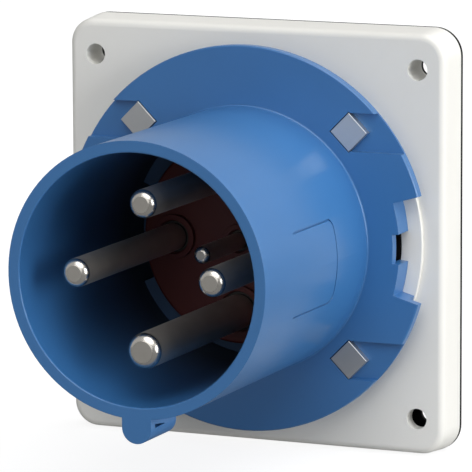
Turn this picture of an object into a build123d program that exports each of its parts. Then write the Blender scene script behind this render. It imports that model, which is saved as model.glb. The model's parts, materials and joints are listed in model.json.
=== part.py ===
from build123d import *
import os
from math import cos, radians, sin, sqrt

os.makedirs("parts", exist_ok=True)

# Pin and sleeve inlet for a panel, in millimetres.
# The panel plane is Y = 0, the user stands at -Y, and Z points up.
# "Reach" is the distance in front of the panel plane; behind the panel it is negative.

# Sealing sheet and mounting flange
gasket_thickness = 1.4
gasket_opening_margin = 5.5
flange_width = 118.0
flange_height = 122.0
flange_depth = 10.8
flange_draft = 5.0
flange_corner_radius = 8.0
flange_edge_radius = 2.0
flange_wall = 3.0
flange_face_wall = 4.0
opening_clearance = 7.4
pad_width = 6.3
pad_height = 1.0
pad_edge_radius = 0.35
pad_wall = 3.4
skirt_wall = 2.3
skirt_gap = 0.9
rib_thickness = 2.0
screw_spacing = 100.0
screw_hole_radius = 3.0
screw_boss_radius = 6.5

# Clamp bolts that hold the collar on the flange
clamp_inset = 9.6
clamp_bolt_radius = 2.45
clamp_bolt_clearance = 0.3
clamp_head_side = 7.8
clamp_head_height = 2.2
clamp_head_chamfer = 0.25
clamp_head_clearance = 0.25
clamp_lug_radius = 6.5
clamp_boss_radius = 6.0
clamp_pocket_depth = 2.0
clamp_thread_clearance = 0.05
washer_radius = 4.9
washer_thickness = 1.0
nut_width = 8.0
nut_height = 4.0
bolt_end_length = 1.0

# Collar: sleeve, clamping ring and key in one moulding
sleeve_radius = 38.3
sleeve_wall = 3.3
sleeve_length = 72.9
sleeve_rim_radius = 0.4
sleeve_root_radius = 0.5
ring_width = 17.4
ring_thickness = 2.85
ring_edge_chamfer = 0.3
rim_height = 4.6
rim_inset = 4.1
rim_width = 6.4
rim_rib_count = 8
rim_rib_thickness = 1.8
notch_angles = (0.0, 180.0)
notch_depth = 7.8
notch_half_angle = 16.0
notch_gap_depth = 2.0
notch_gap_half_angle = 5.2
tube_back_length = 8.0
shelf_drop = 1.0
shelf_thickness = 3.2
shelf_lip = 4.6
shelf_block_height = 6.7
shelf_block_angles = (45.0, 135.0, 225.0, 315.0)
shelf_block_half_angle = 20.5
tube_wall = 4.3
key_width = 8.7
key_drop = 6.8
key_length = 18.0
key_back_chamfer = 1.5
key_slot_depth = 3.0
key_slot_front = 2.7
key_slot_length = 6.2
key_slot_cover = 1.4
key_slot_fall = 0.8
key_slot_tall_end = 1.1
key_slot_low_end = 0.15
field_half_height = 11.9
field_front_setback = 20.3
field_length = 30.5
field_corner_radius = 3.0
field_line_width = 0.5
field_line_depth = 0.45

# Rubber ring between the collar's root and the flange's opening
collar_seal_thickness = 3.0
seal_clearance = 0.3

# Bayonet ring that holds the contact carrier in the collar
lock_groove_depth = 2.0
lock_groove_width = 3.0
lock_ring_thickness = 8.0
lock_ring_wall = 1.8
lock_lug_width = 7.0
lock_lug_height = 2.4
lock_entry_play = 1.0
lock_clearance = 0.3
lock_count = 4

# Contact carrier, the terminal block behind it and the plate that closes the block
carrier_setback = 70.9
carrier_plug_clearance = 0.4
carrier_flange_thickness = 3.8
carrier_edge_radius = 0.8
pin_boss_height = 1.6
pin_boss_wall = 2.4
block_length = 30.0
chamber_wall = 2.6
hub_radius = 8.0
web_thickness = 3.0
retainer_boss_radius = 4.4
retainer_boss_offset = 1.7
retainer_angles = (135.0, 225.0, 315.0)
pilot_screw_angle = 45.0
retainer_gap = 1.3
retainer_thickness = 3.0
retainer_chamfer = 0.6
retainer_lip = 1.4
retainer_screw_radius = 1.75
retainer_screw_grip = 9.0
retainer_screw_end_gap = 1.0
retainer_head_radius = 3.4
retainer_head_height = 2.2
retainer_hole_clearance = 0.15
seal_thickness = 1.2

# Pins: phase, earth and pilot
pin_wall_gap = 14.7
pin_setback = 3.8
pilot_setback = 43.2
pin_seat_step = 0.5
pin_recess_depth = 1.2
pin_recess_gap = 0.9
pin_bore_clearance = 0.15
barrel_bore_clearance = 0.2
shoulder_reach = 8.0
wire_bore_depth = 19.0
wire_entry_chamfer = 0.6
screw_slot_width = 1.0
screw_slot_depth = 1.1
terminal_head_clearance = 0.4
terminal_screw_lift = 0.9
terminal_screw_gap = 0.3

# Each kind of pin: shaft, rounded tip, barrel behind it, bore for the wire and its screws
phase_radius = 4.0
phase_tip_flat = 2.24
phase_tip_height = 2.3
phase_barrel_radius = 6.5
phase_wire_radius = 4.0
earth_radius = 5.0
earth_tip_flat = 3.0
earth_tip_height = 2.7
earth_barrel_radius = 7.5
earth_wire_radius = 4.6
power_screw_radius = 2.5
power_screw_head_radius = 4.0
near_screw_setback = 5.5
far_screw_setback = 14.0
pilot_radius = 2.5
pilot_tip_flat = 1.25
pilot_tip_height = 1.6
pilot_barrel_radius = 4.2
pilot_wire_radius = 1.7
pilot_screw_radius = 1.5
pilot_screw_head_radius = 2.4
pilot_screw_setback = 8.0

# How far a cut or a joined piece runs past the surface it starts from
overrun = 1.0


class PinSize:
    """Radii of one kind of pin, and the clamp screws of its terminal."""

    def __init__(self, shaft, tip_flat, tip_height, barrel, wire):
        self.radius = shaft
        self.flat_radius = tip_flat
        self.seat_radius = shaft + pin_seat_step
        self.round_height = tip_height
        self.barrel_radius = barrel
        self.wire_radius = wire

    def screws(self, radius, head, setbacks):
        self.screw_radius = radius
        self.head_radius = head
        self.screw_setbacks = setbacks


phase_size = PinSize(phase_radius, phase_tip_flat, phase_tip_height, phase_barrel_radius, phase_wire_radius)
earth_size = PinSize(earth_radius, earth_tip_flat, earth_tip_height, earth_barrel_radius, earth_wire_radius)
pilot_size = PinSize(pilot_radius, pilot_tip_flat, pilot_tip_height, pilot_barrel_radius, pilot_wire_radius)
power_screw_setbacks = (near_screw_setback, far_screw_setback)
phase_size.screws(power_screw_radius, power_screw_head_radius, power_screw_setbacks)
earth_size.screws(power_screw_radius, power_screw_head_radius, power_screw_setbacks)
pilot_size.screws(pilot_screw_radius, pilot_screw_head_radius, (pilot_screw_setback,))

# Radii that follow the sleeve's, from its bore outwards and inwards
sleeve_bore_radius = sleeve_radius - sleeve_wall
ring_radius = sleeve_radius + ring_width
rim_outer_radius = ring_radius - rim_inset
rim_inner_radius = rim_outer_radius - rim_width
rim_rib_middle = (sleeve_radius + rim_inner_radius) / 2
notch_floor_radius = ring_radius - notch_depth
notch_gap_radius = notch_floor_radius - notch_gap_depth
opening_radius = sleeve_radius + opening_clearance
gasket_opening_radius = opening_radius + gasket_opening_margin
pad_radius = opening_radius + pad_width
clamp_offset = (ring_radius - clamp_inset) / sqrt(2)
shelf_bore_radius = sleeve_bore_radius - shelf_lip
tube_bore_radius = sleeve_radius - tube_wall
lock_groove_radius = tube_bore_radius + lock_groove_depth
lock_ring_bore_radius = tube_bore_radius - lock_clearance - lock_ring_wall
retainer_radius = lock_ring_bore_radius - retainer_gap
pin_circle_radius = sleeve_bore_radius - pin_wall_gap
retainer_boss_circle = pin_circle_radius + retainer_boss_offset

# Reach of the main planes, worked out from the sizes above
flange_back = gasket_thickness
flange_face = flange_back + flange_depth
flange_floor = flange_face - flange_face_wall
pad_top = flange_face + pad_height
ring_back = pad_top + rim_height
ring_face = ring_back + ring_thickness
pocket_floor = ring_face - clamp_pocket_depth
mouth = ring_face + sleeve_length
shelf_front = pad_top - shelf_drop
shelf_back = shelf_front - shelf_thickness
tube_back = -tube_back_length
carrier_face = mouth - carrier_setback
pin_boss_top = carrier_face + pin_boss_height
carrier_flange_front = shelf_back - seal_thickness
carrier_flange_back = carrier_flange_front - carrier_flange_thickness
block_back = carrier_flange_back - block_length
retainer_back = block_back - retainer_thickness
barrel_front = shoulder_reach - seal_thickness
carrier_plug_radius = shelf_bore_radius - carrier_plug_clearance
carrier_flange_radius = tube_bore_radius - lock_clearance
clamp_head_diagonal = clamp_head_side * sqrt(2)
clamp_hole_radius = clamp_bolt_radius + clamp_bolt_clearance
skirt_radius = pad_radius + skirt_gap
field_front = mouth - field_front_setback

clamp_places = [(sx * clamp_offset, sz * clamp_offset) for sz in (1, -1) for sx in (-1, 1)]
screw_places = [(sx * screw_spacing / 2, sz * screw_spacing / 2) for sz in (1, -1) for sx in (-1, 1)]
# The lower right hole has no tube behind the face wall, the other three have one.
tubed_screw_places = screw_places[:3]


def station(reach, x=0.0, z=0.0):
    """Plane that faces the user, with its first axis along X and its second along Z."""
    return Plane(origin=(x, -reach, z), x_dir=(1, 0, 0), z_dir=(0, -1, 0))


def section(x=0.0, z=0.0):
    """Plane through an axis parallel to Y: first axis is the radius, second the reach."""
    return Plane(origin=(x, 0, z), x_dir=(1, 0, 0), z_dir=(0, 0, -1))


def axis_through(x=0.0, z=0.0):
    """Axis parallel to Y through a point of the front view."""
    return Axis((x, 0, z), (0, 1, 0))


def radial_plane(angle, radius, reach, x=0.0, z=0.0):
    """Plane square to a radius at an angle, that far out from the axis at (x, z)."""
    out = (cos(radians(angle)), 0, sin(radians(angle)))
    origin = (x + radius * out[0], -reach, z + radius * out[2])
    return Plane(origin=origin, x_dir=(0, -1, 0), z_dir=out)


def ring_sector(inner, outer, middle, half):
    """Face of a stretch of ring, so many degrees to either side of its middle."""
    with BuildSketch() as sector:
        with BuildLine():
            outer_arc = CenterArc((0, 0), outer, middle - half, 2 * half)
            inner_arc = CenterArc((0, 0), inner, middle - half, 2 * half)
            Line(outer_arc @ 0, inner_arc @ 0)
            Line(outer_arc @ 1, inner_arc @ 1)
        make_face()
    return sector.sketch


def circles_at(solid, reach, radius):
    """Round edges of a solid at one reach and with one radius."""
    round_edges = solid.edges().filter_by(GeomType.CIRCLE)
    return round_edges.filter_by(
        lambda edge: abs(edge.radius - radius) < 0.01 and abs(edge.arc_center.Y + reach) < 0.01
    )


def flange_outline(inset=0.0):
    """Rounded outline of the flange's back, or one that lies inside it."""
    RectangleRounded(flange_width - 2 * inset, flange_height - 2 * inset, flange_corner_radius - inset)


# Sealing sheet between the flange and the panel
with BuildPart() as flange_gasket:
    with BuildSketch(station(0)):
        flange_outline()
        Circle(gasket_opening_radius, mode=Mode.SUBTRACT)
        with Locations(*screw_places):
            Circle(screw_hole_radius, mode=Mode.SUBTRACT)
    extrude(amount=gasket_thickness)

flange_gasket.part.label = "flange_gasket"
export_step(flange_gasket.part, "parts/flange_gasket.step")


# Mounting flange: a hollow moulded plate with a raised pad round its opening
with BuildPart() as mounting_flange:
    with BuildSketch(station(flange_back)):
        flange_outline()
    extrude(amount=flange_depth, taper=flange_draft)
    face_edges = mounting_flange.faces().sort_by(Axis.Y)[0].edges()
    fillet(face_edges, flange_edge_radius)

    # Hollow back, then what stands in it again
    with BuildSketch(station(flange_back)):
        flange_outline(inset=flange_wall)
    extrude(amount=flange_floor - flange_back, mode=Mode.SUBTRACT)
    with BuildSketch(station(flange_back)):
        Circle(skirt_radius + skirt_wall)
        Circle(skirt_radius, mode=Mode.SUBTRACT)
        with Locations(*tubed_screw_places):
            Circle(screw_boss_radius)
        for x, z in screw_places:
            reach_in = screw_boss_radius + overrun
            with Locations((x - (reach_in if x > 0 else -reach_in), z)):
                Rectangle(2 * reach_in, rib_thickness)
            with Locations((x, z - (reach_in if z > 0 else -reach_in))):
                Rectangle(rib_thickness, 2 * reach_in)
        Circle(skirt_radius, mode=Mode.SUBTRACT)
        with Locations(screw_places[3]):
            Circle(screw_boss_radius, mode=Mode.SUBTRACT)
    extrude(amount=flange_floor - flange_back)

    # Raised pad, cored from behind to an even wall
    with BuildSketch(station(flange_face - pad_height)):
        Circle(pad_radius)
    extrude(amount=2 * pad_height)
    pad_edge = mounting_flange.faces().sort_by(Axis.Y)[0].edges()
    fillet(pad_edge, pad_edge_radius)
    with BuildSketch(station(flange_floor)):
        Circle(skirt_radius - skirt_wall)
    extrude(amount=pad_top - pad_wall - flange_floor, mode=Mode.SUBTRACT)
    with BuildSketch(station(flange_floor)):
        with Locations(*clamp_places):
            Circle(clamp_lug_radius)
    extrude(amount=pad_top - flange_floor)

    # Opening for the collar, which the four clamp lugs reach into
    with BuildSketch(station(flange_back)):
        Circle(opening_radius)
        with Locations(*clamp_places):
            Circle(clamp_lug_radius, mode=Mode.SUBTRACT)
    extrude(amount=pad_top - flange_back, mode=Mode.SUBTRACT)
    with BuildSketch(station(flange_back)):
        with Locations(*clamp_places):
            Circle(clamp_hole_radius)
        with Locations(*screw_places):
            Circle(screw_hole_radius)
    extrude(amount=pad_top - flange_back, mode=Mode.SUBTRACT)

mounting_flange.part.label = "mounting_flange"
export_step(mounting_flange.part, "parts/mounting_flange.step")


# Rubber ring in the flange's opening, under the clamping ring
with BuildPart() as collar_seal:
    with BuildSketch(station(pad_top - collar_seal_thickness)):
        Circle(opening_radius - seal_clearance)
        Circle(sleeve_radius + seal_clearance, mode=Mode.SUBTRACT)
        with Locations(*clamp_places):
            Circle(clamp_lug_radius + seal_clearance, mode=Mode.SUBTRACT)
    extrude(amount=collar_seal_thickness)

collar_seal.part.label = "collar_seal"
export_step(collar_seal.part, "parts/collar_seal.step")


# Cutter for the fine line round a plain field on the sleeve's right side
with BuildPart() as field_line:
    with BuildSketch(Plane.YZ):
        with Locations((-field_front + field_length / 2, 0)):
            RectangleRounded(field_length, 2 * field_half_height, field_corner_radius)
            RectangleRounded(
                field_length - 2 * field_line_width,
                2 * (field_half_height - field_line_width),
                field_corner_radius - field_line_width,
                mode=Mode.SUBTRACT,
            )
        with Locations((-field_front, 0)):
            Rectangle(2 * field_corner_radius, 2 * field_half_height, mode=Mode.SUBTRACT)
    extrude(amount=sleeve_radius + overrun)
    with BuildSketch(station(ring_face)):
        Circle(sleeve_radius + overrun)
        Circle(sleeve_radius - field_line_depth, mode=Mode.SUBTRACT)
    extrude(amount=sleeve_length, mode=Mode.INTERSECT)


# Collar: sleeve, clamping ring, rear tube and key in one moulding
with BuildPart() as plug_collar:
    with BuildSketch(section()):
        with BuildLine():
            Polyline(
                (shelf_bore_radius, shelf_front),
                (sleeve_bore_radius, shelf_front),
                (sleeve_bore_radius, mouth),
                (sleeve_radius, mouth),
                (sleeve_radius, ring_face),
                (ring_radius, ring_face),
                (ring_radius, ring_back),
                (rim_outer_radius, ring_back),
                (rim_outer_radius, pad_top),
                (rim_inner_radius, pad_top),
                (rim_inner_radius, ring_back),
                (sleeve_radius, ring_back),
                (sleeve_radius, tube_back),
                (tube_bore_radius, tube_back),
                (tube_bore_radius, shelf_back),
                (shelf_bore_radius, shelf_back),
                close=True,
            )
        make_face()
    revolve(axis=Axis.Y)
    chamfer(circles_at(plug_collar, ring_face, ring_radius), ring_edge_chamfer)
    fillet(circles_at(plug_collar, ring_face, sleeve_radius), sleeve_root_radius)

    # Four blocks on the inner shelf hook over the edge of the carrier
    with BuildSketch(station(shelf_front)):
        for middle in shelf_block_angles:
            block = (shelf_bore_radius, sleeve_bore_radius + overrun, middle, shelf_block_half_angle)
            add(ring_sector(*block))
    extrude(amount=shelf_block_height)

    # Ribs and clamp bosses under the ring
    with BuildSketch(station(pad_top)):
        with PolarLocations(rim_rib_middle, rim_rib_count, start_angle=180 / rim_rib_count):
            Rectangle(rim_inner_radius - sleeve_radius + overrun, rim_rib_thickness)
        with Locations(*clamp_places):
            Circle(clamp_boss_radius)
        Circle(sleeve_radius - overrun, mode=Mode.SUBTRACT)
    extrude(amount=rim_height)

    # Key at 6 o'clock, round at its foot, with its back end chamfered
    key_foot = -(sleeve_radius + key_drop - key_width / 2)
    key_root = -(sleeve_bore_radius + overrun)
    for reach, amount, taper in (
        (mouth - key_length + key_back_chamfer, key_length - key_back_chamfer, 0),
        (mouth - key_length + key_back_chamfer, -key_back_chamfer, 45),
    ):
        with BuildSketch(station(reach)):
            with Locations((0, (key_foot + key_root) / 2)):
                Rectangle(key_width, key_root - key_foot)
            with Locations((0, key_foot)):
                Circle(key_width / 2)
        extrude(amount=amount, taper=taper)
    with BuildSketch(station(shelf_front + shelf_block_height)):
        Circle(sleeve_bore_radius)
    extrude(amount=mouth - shelf_front - shelf_block_height, mode=Mode.SUBTRACT)

    # Wedge shaped recess in each side of the key, below the sleeve
    slot_top = -(sleeve_radius + key_slot_cover)
    slot_front = mouth - key_slot_front
    slot_back = slot_front - key_slot_length
    for side in (1, -1):
        with BuildSketch(Plane.YZ.offset(side * key_width / 2)):
            with BuildLine():
                Polyline(
                    (-slot_front, slot_top),
                    (-slot_front, slot_top - key_slot_tall_end),
                    (-slot_back, slot_top - key_slot_fall - key_slot_low_end),
                    (-slot_back, slot_top - key_slot_fall),
                    close=True,
                )
            make_face()
        extrude(amount=-side * key_slot_depth, mode=Mode.SUBTRACT)

    # Notches in the ring at 3 and 9 o'clock, each with a deeper gap in its middle
    with BuildSketch(station(pad_top)):
        for middle in notch_angles:
            add(ring_sector(notch_floor_radius, ring_radius + overrun, middle, notch_half_angle))
            add(ring_sector(notch_gap_radius, ring_radius + overrun, middle, notch_gap_half_angle))
    extrude(amount=ring_face - pad_top, mode=Mode.SUBTRACT)
    with BuildSketch(station(pad_top)):
        for middle in notch_angles:
            gap = (rim_inner_radius - overrun, ring_radius + overrun, middle, notch_gap_half_angle)
            add(ring_sector(*gap))
    extrude(amount=rim_height, mode=Mode.SUBTRACT)

    # Pockets for the square bolt heads, open to the ring's edge, and the bolt holes
    with BuildSketch(station(pocket_floor)):
        for x, z in clamp_places:
            channel = ring_radius - clamp_offset
            with Locations((x, z)):
                pocket_side = clamp_head_side + 2 * clamp_head_clearance
                Rectangle(pocket_side, pocket_side, rotation=45)
            with Locations((x + (channel if x > 0 else -channel) / 2, z)):
                Rectangle(channel, clamp_head_diagonal)
    extrude(amount=clamp_pocket_depth, mode=Mode.SUBTRACT)
    with BuildSketch(station(pad_top)):
        with Locations(*clamp_places):
            Circle(clamp_hole_radius)
    extrude(amount=ring_face - pad_top, mode=Mode.SUBTRACT)

    # Bayonet: a groove in the rear tube, and entries to it from behind
    lock_groove_back = carrier_flange_back - lock_groove_width
    with BuildSketch(station(lock_groove_back)):
        Circle(lock_groove_radius)
        Circle(tube_bore_radius - overrun, mode=Mode.SUBTRACT)
    extrude(amount=lock_groove_width, mode=Mode.SUBTRACT)
    with BuildSketch(station(tube_back)):
        entry_middle = (tube_bore_radius - overrun + lock_groove_radius) / 2
        with PolarLocations(entry_middle, lock_count):
            Rectangle(lock_groove_radius - tube_bore_radius + overrun, lock_lug_width + lock_entry_play)
    extrude(amount=lock_groove_back - tube_back, mode=Mode.SUBTRACT)

    add(field_line.part, mode=Mode.SUBTRACT)
    mouth_edges = circles_at(plug_collar, mouth, sleeve_bore_radius)
    fillet(mouth_edges, sleeve_rim_radius)

plug_collar.part.label = "plug_collar"
export_step(plug_collar.part, "parts/plug_collar.step")


# Square headed bolts, washers and nuts that clamp the collar to the flange
bolt_end = flange_floor - washer_thickness - nut_height - bolt_end_length
for number, (x, z) in enumerate(clamp_places, start=1):
    with BuildPart() as clamp_bolt:
        with BuildSketch(station(pocket_floor, x, z)):
            Rectangle(clamp_head_side, clamp_head_side, rotation=45)
        extrude(amount=clamp_head_height)
        head_edges = clamp_bolt.faces().sort_by(Axis.Y)[0].edges()
        chamfer(head_edges, clamp_head_chamfer)
        with BuildSketch(station(bolt_end, x, z)):
            Circle(clamp_bolt_radius)
        extrude(amount=pocket_floor - bolt_end)

    clamp_bolt.part.label = f"clamp_bolt_{number}"
    export_step(clamp_bolt.part, f"parts/clamp_bolt_{number}.step")

    with BuildPart() as clamp_washer:
        with BuildSketch(station(flange_floor - washer_thickness, x, z)):
            Circle(washer_radius)
            Circle(clamp_hole_radius, mode=Mode.SUBTRACT)
        extrude(amount=washer_thickness)

    clamp_washer.part.label = f"clamp_washer_{number}"
    export_step(clamp_washer.part, f"parts/clamp_washer_{number}.step")

    with BuildPart() as clamp_nut:
        with BuildSketch(station(flange_floor - washer_thickness - nut_height, x, z)):
            RegularPolygon(nut_width / 2, 6, major_radius=False)
            Circle(clamp_bolt_radius + clamp_thread_clearance, mode=Mode.SUBTRACT)
        extrude(amount=nut_height)

    clamp_nut.part.label = f"clamp_nut_{number}"
    export_step(clamp_nut.part, f"parts/clamp_nut_{number}.step")


# Rubber ring between the collar's shelf and the carrier's flange
with BuildPart() as carrier_seal:
    with BuildSketch(station(carrier_flange_front)):
        Circle(carrier_flange_radius - seal_clearance)
        Circle(carrier_plug_radius + seal_clearance, mode=Mode.SUBTRACT)
    extrude(amount=seal_thickness)

carrier_seal.part.label = "carrier_seal"
export_step(carrier_seal.part, "parts/carrier_seal.step")


# Ring that is turned behind the carrier's flange to lock it
with BuildPart() as lock_ring:
    with BuildSketch(station(carrier_flange_back - lock_ring_thickness)):
        Circle(tube_bore_radius - lock_clearance)
        Circle(lock_ring_bore_radius, mode=Mode.SUBTRACT)
    extrude(amount=lock_ring_thickness)
    lug_back = carrier_flange_back - lock_groove_width / 2 - lock_lug_height / 2
    with BuildSketch(station(lug_back)):
        lug_reach = lock_groove_radius - lock_clearance - lock_ring_bore_radius
        lug_middle = lock_ring_bore_radius + lug_reach / 2
        with PolarLocations(lug_middle, lock_count, start_angle=180 / lock_count):
            Rectangle(lug_reach, lock_lug_width)
        Circle(lock_ring_bore_radius, mode=Mode.SUBTRACT)
    extrude(amount=lock_lug_height)

lock_ring.part.label = "lock_ring"
export_step(lock_ring.part, "parts/lock_ring.step")


# Where each pin stands, by the name it gives its pieces
pin_sites = [
    ("phase_pin_1", "phase_1", phase_size, 90.0, pin_circle_radius, mouth - pin_setback),
    ("phase_pin_2", "phase_2", phase_size, 0.0, pin_circle_radius, mouth - pin_setback),
    ("phase_pin_3", "phase_3", phase_size, 180.0, pin_circle_radius, mouth - pin_setback),
    ("earth_pin", "earth", earth_size, 270.0, pin_circle_radius, mouth - pin_setback),
    ("pilot_pin", "pilot", pilot_size, pilot_screw_angle, 0.0, mouth - pilot_setback),
]


def pin_centre(angle, circle):
    """Point of the front view where a pin stands."""
    return circle * cos(radians(angle)), circle * sin(radians(angle))


# Contact carrier: plug and flange in one moulding, with a stepped bore for each pin
with BuildPart() as contact_carrier:
    with BuildSketch(station(carrier_flange_back)):
        Circle(carrier_plug_radius)
    extrude(amount=carrier_face - carrier_flange_back)
    fillet(circles_at(contact_carrier, carrier_face, carrier_plug_radius), carrier_edge_radius)
    with BuildSketch(station(carrier_flange_back)):
        Circle(carrier_flange_radius)
    extrude(amount=carrier_flange_thickness)

    # Raised ring round each pin on the front face
    with BuildSketch(station(carrier_face)):
        for label, stem, size, angle, circle, tip in pin_sites:
            with Locations(pin_centre(angle, circle)):
                Circle(size.radius + pin_boss_wall)
    extrude(amount=pin_boss_height)

    with BuildSketch(station(carrier_flange_back)):
        for label, stem, size, angle, circle, tip in pin_sites:
            with Locations(pin_centre(angle, circle)):
                Circle(size.seat_radius + pin_bore_clearance)
    extrude(amount=pin_boss_top - carrier_flange_back, mode=Mode.SUBTRACT)
    with BuildSketch(station(carrier_flange_back)):
        for label, stem, size, angle, circle, tip in pin_sites:
            with Locations(pin_centre(angle, circle)):
                Circle(size.barrel_radius + barrel_bore_clearance)
    extrude(amount=shoulder_reach - carrier_flange_back, mode=Mode.SUBTRACT)
    with BuildSketch(station(pin_boss_top)):
        for label, stem, size, angle, circle, tip in pin_sites:
            with Locations(pin_centre(angle, circle)):
                Circle(size.radius + pin_recess_gap)
    extrude(amount=-pin_recess_depth, mode=Mode.SUBTRACT)

    # Blind holes for the retainer's screws
    with BuildSketch(station(carrier_flange_back)):
        for angle in retainer_angles:
            with Locations(pin_centre(angle, retainer_boss_circle)):
                Circle(retainer_screw_radius + clamp_thread_clearance)
    extrude(amount=retainer_screw_grip + retainer_screw_end_gap, mode=Mode.SUBTRACT)

contact_carrier.part.label = "contact_carrier"
export_step(contact_carrier.part, "parts/contact_carrier.step")


# Terminal block: a chamber round each terminal, open outwards for the screwdriver
with BuildPart() as terminal_block:
    with BuildSketch(station(block_back)):
        Circle(hub_radius)
        for angle in retainer_angles:
            with Locations(pin_centre(angle, retainer_boss_circle)):
                Circle(retainer_boss_radius)
            with Locations(pin_centre(angle, retainer_boss_circle / 2)):
                Rectangle(retainer_boss_circle, web_thickness, rotation=angle)
        for label, stem, size, angle, circle, tip in pin_sites:
            bore_radius = size.barrel_radius + barrel_bore_clearance
            wall_radius = bore_radius + chamber_wall
            with Locations(pin_centre(angle, circle)):
                Circle(wall_radius)
            if circle > 0:
                with Locations(pin_centre(angle, circle / 2)):
                    Rectangle(circle, web_thickness, rotation=angle)
                with Locations(pin_centre(angle, circle + wall_radius / 2)):
                    Rectangle(wall_radius, 2 * wall_radius, rotation=angle)
        for label, stem, size, angle, circle, tip in pin_sites:
            bore_radius = size.barrel_radius + barrel_bore_clearance
            with Locations(pin_centre(angle, circle)):
                Circle(bore_radius, mode=Mode.SUBTRACT)
            if circle > 0:
                with Locations(pin_centre(angle, circle + retainer_radius / 2)):
                    Rectangle(retainer_radius, 2 * bore_radius, rotation=angle, mode=Mode.SUBTRACT)
        for angle in retainer_angles:
            with Locations(pin_centre(angle, retainer_boss_circle)):
                Circle(retainer_screw_radius + retainer_hole_clearance, mode=Mode.SUBTRACT)
        Circle(retainer_radius, mode=Mode.INTERSECT)
    extrude(amount=block_length)
    with BuildSketch(radial_plane(pilot_screw_angle, 0, block_back + pilot_screw_setback)):
        Circle(pilot_screw_head_radius + terminal_head_clearance)
    extrude(amount=hub_radius + overrun, mode=Mode.SUBTRACT)

terminal_block.part.label = "terminal_block"
export_step(terminal_block.part, "parts/terminal_block.step")


# Plate behind the terminal block: its holes take the wires and stop the pins
with BuildPart() as pin_retainer:
    with BuildSketch(station(retainer_back)):
        Circle(retainer_radius)
        for label, stem, size, angle, circle, tip in pin_sites:
            with Locations(pin_centre(angle, circle)):
                Circle(size.barrel_radius - retainer_lip, mode=Mode.SUBTRACT)
        for angle in retainer_angles:
            with Locations(pin_centre(angle, retainer_boss_circle)):
                Circle(retainer_screw_radius + retainer_hole_clearance, mode=Mode.SUBTRACT)
    extrude(amount=retainer_thickness)
    chamfer(circles_at(pin_retainer, retainer_back, retainer_radius), retainer_chamfer)

pin_retainer.part.label = "pin_retainer"
export_step(pin_retainer.part, "parts/pin_retainer.step")

for number, angle in enumerate(retainer_angles, start=1):
    x, z = pin_centre(angle, retainer_boss_circle)
    with BuildPart() as retainer_screw:
        with BuildSketch(station(retainer_back, x, z)):
            Circle(retainer_head_radius)
        extrude(amount=-retainer_head_height)
        head_edges = circles_at(retainer_screw, retainer_back - retainer_head_height, retainer_head_radius)
        fillet(head_edges, retainer_head_height / 2)
        with BuildSketch(station(retainer_back, x, z)):
            Circle(retainer_screw_radius)
        extrude(amount=retainer_thickness + block_length + retainer_screw_grip)
        with BuildSketch(station(retainer_back - retainer_head_height, x, z)):
            Rectangle(2 * retainer_head_radius, screw_slot_width, rotation=angle)
        extrude(amount=screw_slot_depth, mode=Mode.SUBTRACT)

    retainer_screw.part.label = f"retainer_screw_{number}"
    export_step(retainer_screw.part, f"parts/retainer_screw_{number}.step")


# Pins, their seals and their clamp screws
for label, stem, size, angle, circle, tip in pin_sites:
    x, z = pin_centre(angle, circle)
    with BuildPart() as pin:
        with BuildSketch(section(x, z)):
            with BuildLine():
                flat_start = (size.flat_radius, tip)
                shaft_end = (size.radius, tip - size.round_height)
                wire_end = block_back + wire_bore_depth
                Polyline((0, wire_end), (0, tip), flat_start)
                TangentArc(shaft_end, flat_start, tangent=(0, 1))
                Polyline(
                    shaft_end,
                    (size.radius, pin_boss_top - pin_recess_depth),
                    (size.seat_radius, pin_boss_top - pin_recess_depth),
                    (size.seat_radius, barrel_front),
                    (size.barrel_radius, barrel_front),
                    (size.barrel_radius, block_back),
                    (size.wire_radius + wire_entry_chamfer, block_back),
                    (size.wire_radius, block_back + wire_entry_chamfer),
                    (size.wire_radius, wire_end),
                    (0, wire_end),
                )
            make_face()
        revolve(axis=axis_through(x, z))
        for setback in size.screw_setbacks:
            with BuildSketch(radial_plane(angle, 0, block_back + setback, x, z)):
                Circle(size.screw_radius + clamp_thread_clearance)
            extrude(amount=size.barrel_radius + overrun, mode=Mode.SUBTRACT)

    pin.part.label = label
    export_step(pin.part, f"parts/{label}.step")

    with BuildPart() as pin_seal:
        with BuildSketch(station(barrel_front, x, z)):
            Circle(size.barrel_radius)
            Circle(size.seat_radius + pin_bore_clearance, mode=Mode.SUBTRACT)
        extrude(amount=seal_thickness)

    pin_seal.part.label = f"{stem}_pin_seal"
    export_step(pin_seal.part, f"parts/{stem}_pin_seal.step")

    # The screws of one terminal are separate solids of one piece
    with BuildPart() as terminal_screws:
        for setback in size.screw_setbacks:
            reach = block_back + setback
            screw_end = size.wire_radius + terminal_screw_gap
            head_start = size.barrel_radius + terminal_screw_lift
            head_height = size.screw_radius
            with BuildSketch(radial_plane(angle, screw_end, reach, x, z)):
                Circle(size.screw_radius)
            extrude(amount=head_start - screw_end)
            with BuildSketch(radial_plane(angle, head_start, reach, x, z)):
                Circle(size.head_radius)
            extrude(amount=head_height)
            slot_floor = head_start + head_height - screw_slot_depth
            with BuildSketch(radial_plane(angle, slot_floor, reach, x, z)):
                Rectangle(2 * size.head_radius, screw_slot_width)
            extrude(amount=screw_slot_depth, mode=Mode.SUBTRACT)

    terminal_screws.part.label = f"{stem}_terminal_screws"
    export_step(terminal_screws.part, f"parts/{stem}_terminal_screws.step")
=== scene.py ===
"""Looks and stage of a panel mounted pin and sleeve inlet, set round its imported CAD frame."""

import json
import math

import bpy
import numpy as np
from bpy.props import FloatProperty, FloatVectorProperty, IntProperty, PointerProperty
from mathutils import Matrix, Vector


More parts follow.
